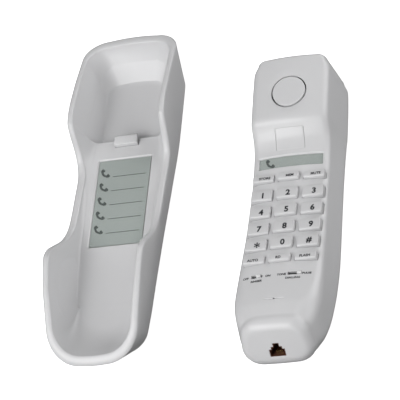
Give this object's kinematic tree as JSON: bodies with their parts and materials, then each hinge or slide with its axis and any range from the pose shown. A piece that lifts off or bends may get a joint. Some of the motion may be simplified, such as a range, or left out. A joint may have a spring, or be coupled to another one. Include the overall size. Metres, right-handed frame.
{
  "type": "slimline wall telephone",
  "caption": "Slimline wall telephone: a passive wall cradle with a card window and hanging tab, and a slim handset with a push-button keypad, earpiece, slide switches and modular jack.",
  "frame": {"origin": "middle of the cradle's flat wall face, at the centre of the index card", "axes": "+Z away from the wall, +Y toward the ear end of both pieces, +X toward the handset, which lies beside the cradle"},
  "size_m": [0.1669, 0.2343, 0.0406],
  "materials": {
    "housing": "satin moulded ABS, light grey-white",
    "key": "fine satin moulded keycap",
    "knob": "satin",
    "back_plate": "lightly textured moulding",
    "card": "printed grey-green card",
    "window": "thin clear plastic, gloss",
    "rubber": "matte",
    "board": "green solder mask",
    "capsule": "satin",
    "dark": "satin",
    "jack": "dark brown moulding",
    "contact": "gold-plated wire",
    "steel": "zinc-plated"
  },
  "bodies": {
    "cradle": {"cradle_shell": "housing", "cradle_back_plate": "back_plate", "index_card": "card", "index_card_window": "window", "cradle_screw_1": "steel", "cradle_screw_2": "steel", "cradle_screw_3": "steel", "cradle_screw_4": "steel", "rubber_foot_1": "rubber", "rubber_foot_2": "rubber", "rubber_foot_3": "rubber", "rubber_foot_4": "rubber"},
    "tab": {"hang_tab": "housing"},
    "handset": {"handset_front_cover": "housing", "handset_rear_cover": "housing", "receiver_cap": "housing", "number_card": "card", "number_window": "window", "receiver_gasket": "rubber", "microphone_boot": "rubber", "keypad_mat": "rubber", "main_board": "board", "receiver_capsule": "capsule", "microphone_capsule": "capsule", "buzzer": "capsule", "hook_switch_body": "dark", "ringer_switch_body": "dark", "dial_switch_body": "dark", "line_jack": "jack", "jack_contacts": "contact", "case_screw_1": "steel", "case_screw_2": "steel", "case_screw_3": "steel"},
    "key_1": {"key_1": "key"},
    "key_2": {"key_2": "key"},
    "key_3": {"key_3": "key"},
    "key_4": {"key_4": "key"},
    "key_5": {"key_5": "key"},
    "key_6": {"key_6": "key"},
    "key_7": {"key_7": "key"},
    "key_8": {"key_8": "key"},
    "key_9": {"key_9": "key"},
    "key_0": {"key_0": "key"},
    "key_star": {"key_star": "key"},
    "key_hash": {"key_hash": "key"},
    "key_store": {"key_store": "key"},
    "key_memory": {"key_memory": "key"},
    "key_mute": {"key_mute": "key"},
    "key_auto": {"key_auto": "key"},
    "key_redial": {"key_redial": "key"},
    "key_flash": {"key_flash": "key"},
    "hook_switch_key": {"hook_switch_key": "housing"},
    "ringer_switch_knob": {"ringer_switch_knob": "knob"},
    "dial_switch_knob": {"dial_switch_knob": "knob"}
  },
  "joints": [
    {"name": "handset_lift", "type": "slide", "parent": "cradle", "child": "handset", "axis": [0, 0, 1], "range_m": [0, 0.1]},
    {"name": "hang_tab_lift", "type": "slide", "parent": "cradle", "child": "tab", "axis": [0, 0, 1], "range_m": [0, 0.008]},
    {"name": "key_1_press", "type": "slide", "parent": "handset", "child": "key_1", "axis": [0, -0.0802, -0.9968], "range_m": [0, 0.0012], "stiffness_N_per_m": 600},
    {"name": "key_2_press", "type": "slide", "parent": "handset", "child": "key_2", "axis": [0, -0.0802, -0.9968], "range_m": [0, 0.0012], "stiffness_N_per_m": 600},
    {"name": "key_3_press", "type": "slide", "parent": "handset", "child": "key_3", "axis": [0, -0.0802, -0.9968], "range_m": [0, 0.0012], "stiffness_N_per_m": 600},
    {"name": "key_4_press", "type": "slide", "parent": "handset", "child": "key_4", "axis": [0, -0.0802, -0.9968], "range_m": [0, 0.0012], "stiffness_N_per_m": 600},
    {"name": "key_5_press", "type": "slide", "parent": "handset", "child": "key_5", "axis": [0, -0.0802, -0.9968], "range_m": [0, 0.0012], "stiffness_N_per_m": 600},
    {"name": "key_6_press", "type": "slide", "parent": "handset", "child": "key_6", "axis": [0, -0.0802, -0.9968], "range_m": [0, 0.0012], "stiffness_N_per_m": 600},
    {"name": "key_7_press", "type": "slide", "parent": "handset", "child": "key_7", "axis": [0, -0.0802, -0.9968], "range_m": [0, 0.0012], "stiffness_N_per_m": 600},
    {"name": "key_8_press", "type": "slide", "parent": "handset", "child": "key_8", "axis": [0, -0.0802, -0.9968], "range_m": [0, 0.0012], "stiffness_N_per_m": 600},
    {"name": "key_9_press", "type": "slide", "parent": "handset", "child": "key_9", "axis": [0, -0.0802, -0.9968], "range_m": [0, 0.0012], "stiffness_N_per_m": 600},
    {"name": "key_0_press", "type": "slide", "parent": "handset", "child": "key_0", "axis": [0, -0.0802, -0.9968], "range_m": [0, 0.0012], "stiffness_N_per_m": 600},
    {"name": "key_star_press", "type": "slide", "parent": "handset", "child": "key_star", "axis": [0, -0.0802, -0.9968], "range_m": [0, 0.0012], "stiffness_N_per_m": 600},
    {"name": "key_hash_press", "type": "slide", "parent": "handset", "child": "key_hash", "axis": [0, -0.0802, -0.9968], "range_m": [0, 0.0012], "stiffness_N_per_m": 600},
    {"name": "key_store_press", "type": "slide", "parent": "handset", "child": "key_store", "axis": [0, -0.0802, -0.9968], "range_m": [0, 0.0012], "stiffness_N_per_m": 600},
    {"name": "key_memory_press", "type": "slide", "parent": "handset", "child": "key_memory", "axis": [0, -0.0802, -0.9968], "range_m": [0, 0.0012], "stiffness_N_per_m": 600},
    {"name": "key_mute_press", "type": "slide", "parent": "handset", "child": "key_mute", "axis": [0, -0.0802, -0.9968], "range_m": [0, 0.0012], "stiffness_N_per_m": 600},
    {"name": "key_auto_press", "type": "slide", "parent": "handset", "child": "key_auto", "axis": [0, -0.0802, -0.9968], "range_m": [0, 0.0012], "stiffness_N_per_m": 600},
    {"name": "key_redial_press", "type": "slide", "parent": "handset", "child": "key_redial", "axis": [0, -0.0802, -0.9968], "range_m": [0, 0.0012], "stiffness_N_per_m": 600},
    {"name": "key_flash_press", "type": "slide", "parent": "handset", "child": "key_flash", "axis": [0, -0.0802, -0.9968], "range_m": [0, 0.0012], "stiffness_N_per_m": 600},
    {"name": "hook_switch_press", "type": "slide", "parent": "handset", "child": "hook_switch_key", "axis": [0, 0, -1], "range_m": [0, 0.002], "stiffness_N_per_m": 400},
    {"name": "ringer_slide", "type": "slide", "parent": "handset", "child": "ringer_switch_knob", "axis": [1, 0, 0], "range_m": [-0.0027, 0.0009]},
    {"name": "dial_slide", "type": "slide", "parent": "handset", "child": "dial_switch_knob", "axis": [1, 0, 0], "range_m": [-0.0051, 0]}
  ]
}
